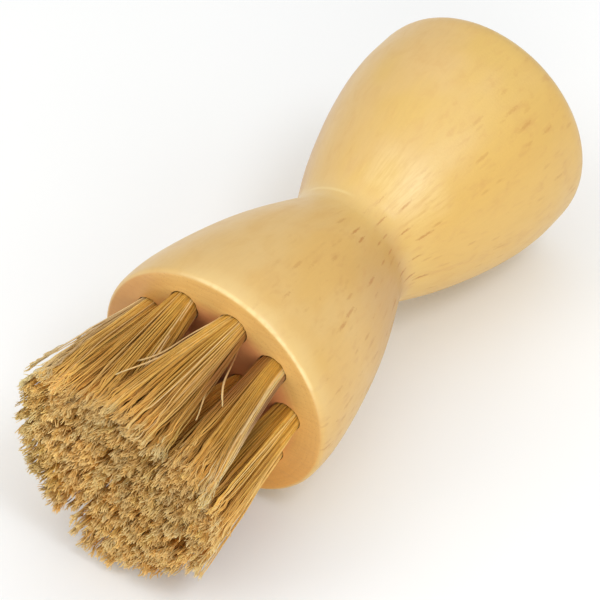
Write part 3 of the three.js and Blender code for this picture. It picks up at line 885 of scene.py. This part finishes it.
    # Left or right edge of the strip, from the corner's place in its face.
    edge = np.concatenate([np.tile([0, 1, 1, 0], len(q1)), np.tile(np.arange(sides) % 2, len(c1)),
                           np.tile([0, 1, 1, 0], len(q2)), np.tile(np.arange(flag_sides) % 2, len(c2))])
    u = (strip % per_row + 0.12 + 0.76 * edge) / per_row
    uv = mesh.uv_layers.new(name="OFBake")
    uv.data.foreach_set("uv", np.c_[u, (strip // per_row + v) / rows].astype(np.float32).ravel())
    obj = bpy.data.objects.new(name, mesh)
    bpy.context.scene.collection.objects.link(obj)
    return obj


def make_staple(name, hx, hz, material):
    """A U of round wire with rounded corners and cut points."""
    pts = []
    c = 0.7
    pts.append((-LEG_X, LEG_TIP_DEPTH))
    pts.append((-LEG_X, LEG_TIP_DEPTH - 0.7))
    for d in (11.5, 10.0, 8.8):
        pts.append((-LEG_X, d))
    for a in np.linspace(180, 270, 7):
        pts.append((-LEG_X + c + c * math.cos(math.radians(a)), BRIDGE_DEPTH + c + c * math.sin(math.radians(a))))
    half = pts[:]
    path = np.array([(hx + px, py, hz) for px, py in half] + [(hx, BRIDGE_DEPTH, hz)]
                    + [(hx - px, py, hz) for px, py in reversed(half)])
    radius = np.full(len(path), WIRE_R)
    radius[0] = radius[-1] = 0.12
    v = tubes(path[None], radius[None], 14).reshape(-1, 3)
    v[:, 1] += FACE_Y
    v[:, 2] += AXIS_Z
    quads, caps = tube_faces(1, len(path), 14, 0)
    return add_mesh(name, v, [tuple(q) for q in quads] + [tuple(q) for q in caps], material)


# ---------------------------------------------------------------------- pieces
wood = wood_material()
bristle = bristle_material()
wire = wire_material()

handle = make_handle(wood)
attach(handle, "root")
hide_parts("handle")

for number, (tag, hx, hz, outer) in enumerate(HOLES):
    tuft = make_tuft(tag, hx, hz, outer, 1000 + number, bristle)
    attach(tuft, "root")
    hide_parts(f"tuft_{tag}")
    staple = make_staple(f"staple_{tag}_wire", hx, hz, wire)
    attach(staple, "root")
    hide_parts(f"staple_{tag}")

# --------------------------------------------------------------- floor and light
FLOOR_Z = -(DOWEL_R - AXIS_Z) - 0.005


def floor_material():
    k = Nodes("pale_floor")
    p = k.object_mm()
    grain = k.noise(k.vmath("MULTIPLY", p, (0.02, 0.02, 0.02)), 1.0, 2.0)
    k.link(k.mix(grain, srgb(243, 246, 250), srgb(246, 249, 252)), k.bsdf.inputs["Base Color"])
    k.bsdf.inputs["Roughness"].default_value = 0.9
    k.bsdf.inputs["Specular IOR Level"].default_value = 0.1
    return k.mat


floor = add_mesh("floor", [(-3000, -3000, FLOOR_Z), (3000, -3000, FLOOR_Z), (3000, 3000, FLOOR_Z), (-3000, 3000, FLOOR_Z)],
                 [(0, 1, 2, 3)], floor_material(), smooth=False)


def area_light(name, at, aim, size, power, colour=(1, 1, 1)):
    data = bpy.data.lights.new(name, "AREA")
    data.shape = "DISK"
    data.size = size
    data.energy = power
    data.color = colour
    obj = bpy.data.objects.new(name, data)
    obj.location = at
    obj.rotation_euler = (Vector(aim) - Vector(at)).to_track_quat("-Z", "Y").to_euler()
    bpy.context.scene.collection.objects.link(obj)
    return obj


middle = Vector((0.0, 0.005, 0.018))
area_light("key", middle + Vector((0.53, -0.13, 0.84)) * 0.75, middle, 0.26, 1.15, (0.93, 0.97, 1.04))
area_light("front_right", middle + Vector((0.58, -0.76, 0.3)) * 0.85, middle, 0.5, 2.3, (1.0, 0.97, 0.92))
area_light("front_left", middle + Vector((-0.5, -0.6, 0.62)) * 0.95, middle, 0.6, 1.55, (1.0, 0.97, 0.94))
area_light("front", middle + Vector((-0.25, -0.95, 0.32)) * 0.9, middle, 0.7, 0.35, (1.0, 0.93, 0.84))
# A broad soft light above.
area_light("top", middle + Vector((0.0, 0.05, 1.0)) * 0.95, middle, 1.2, 2.2, (1.0, 0.98, 0.95))

world = bpy.data.worlds.new("studio")
world.use_nodes = True
world.node_tree.nodes["Background"].inputs["Color"].default_value = (1.03, 1.0, 0.94, 1.0)
world.node_tree.nodes["Background"].inputs["Strength"].default_value = 0.61
bpy.context.scene.world = world

# ---------------------------------------------------------------------- camera
cam_data = bpy.data.cameras.new("camera")
cam_data.sensor_fit = "HORIZONTAL"
cam_data.sensor_width = 36.0
cam_data.lens = 176.21
cam_data.clip_start = 0.01
cam_data.clip_end = 20.0
camera = bpy.data.objects.new("camera", cam_data)
camera.location = (0.167256, FACE_Y * 0.001 - 0.216463, AXIS_Z * 0.001 + 0.276518)
camera.rotation_euler = Vector((-0.41713, 0.59014, -0.69118)).to_track_quat("-Z", "Y").to_euler()
bpy.context.scene.collection.objects.link(camera)
bpy.context.scene.camera = camera
bpy.context.scene.view_settings.view_transform = "Standard"
bpy.context.scene.view_settings.look = "None"
bpy.context.scene.view_settings.exposure = 0.0
bpy.context.scene.view_settings.gamma = 1.0
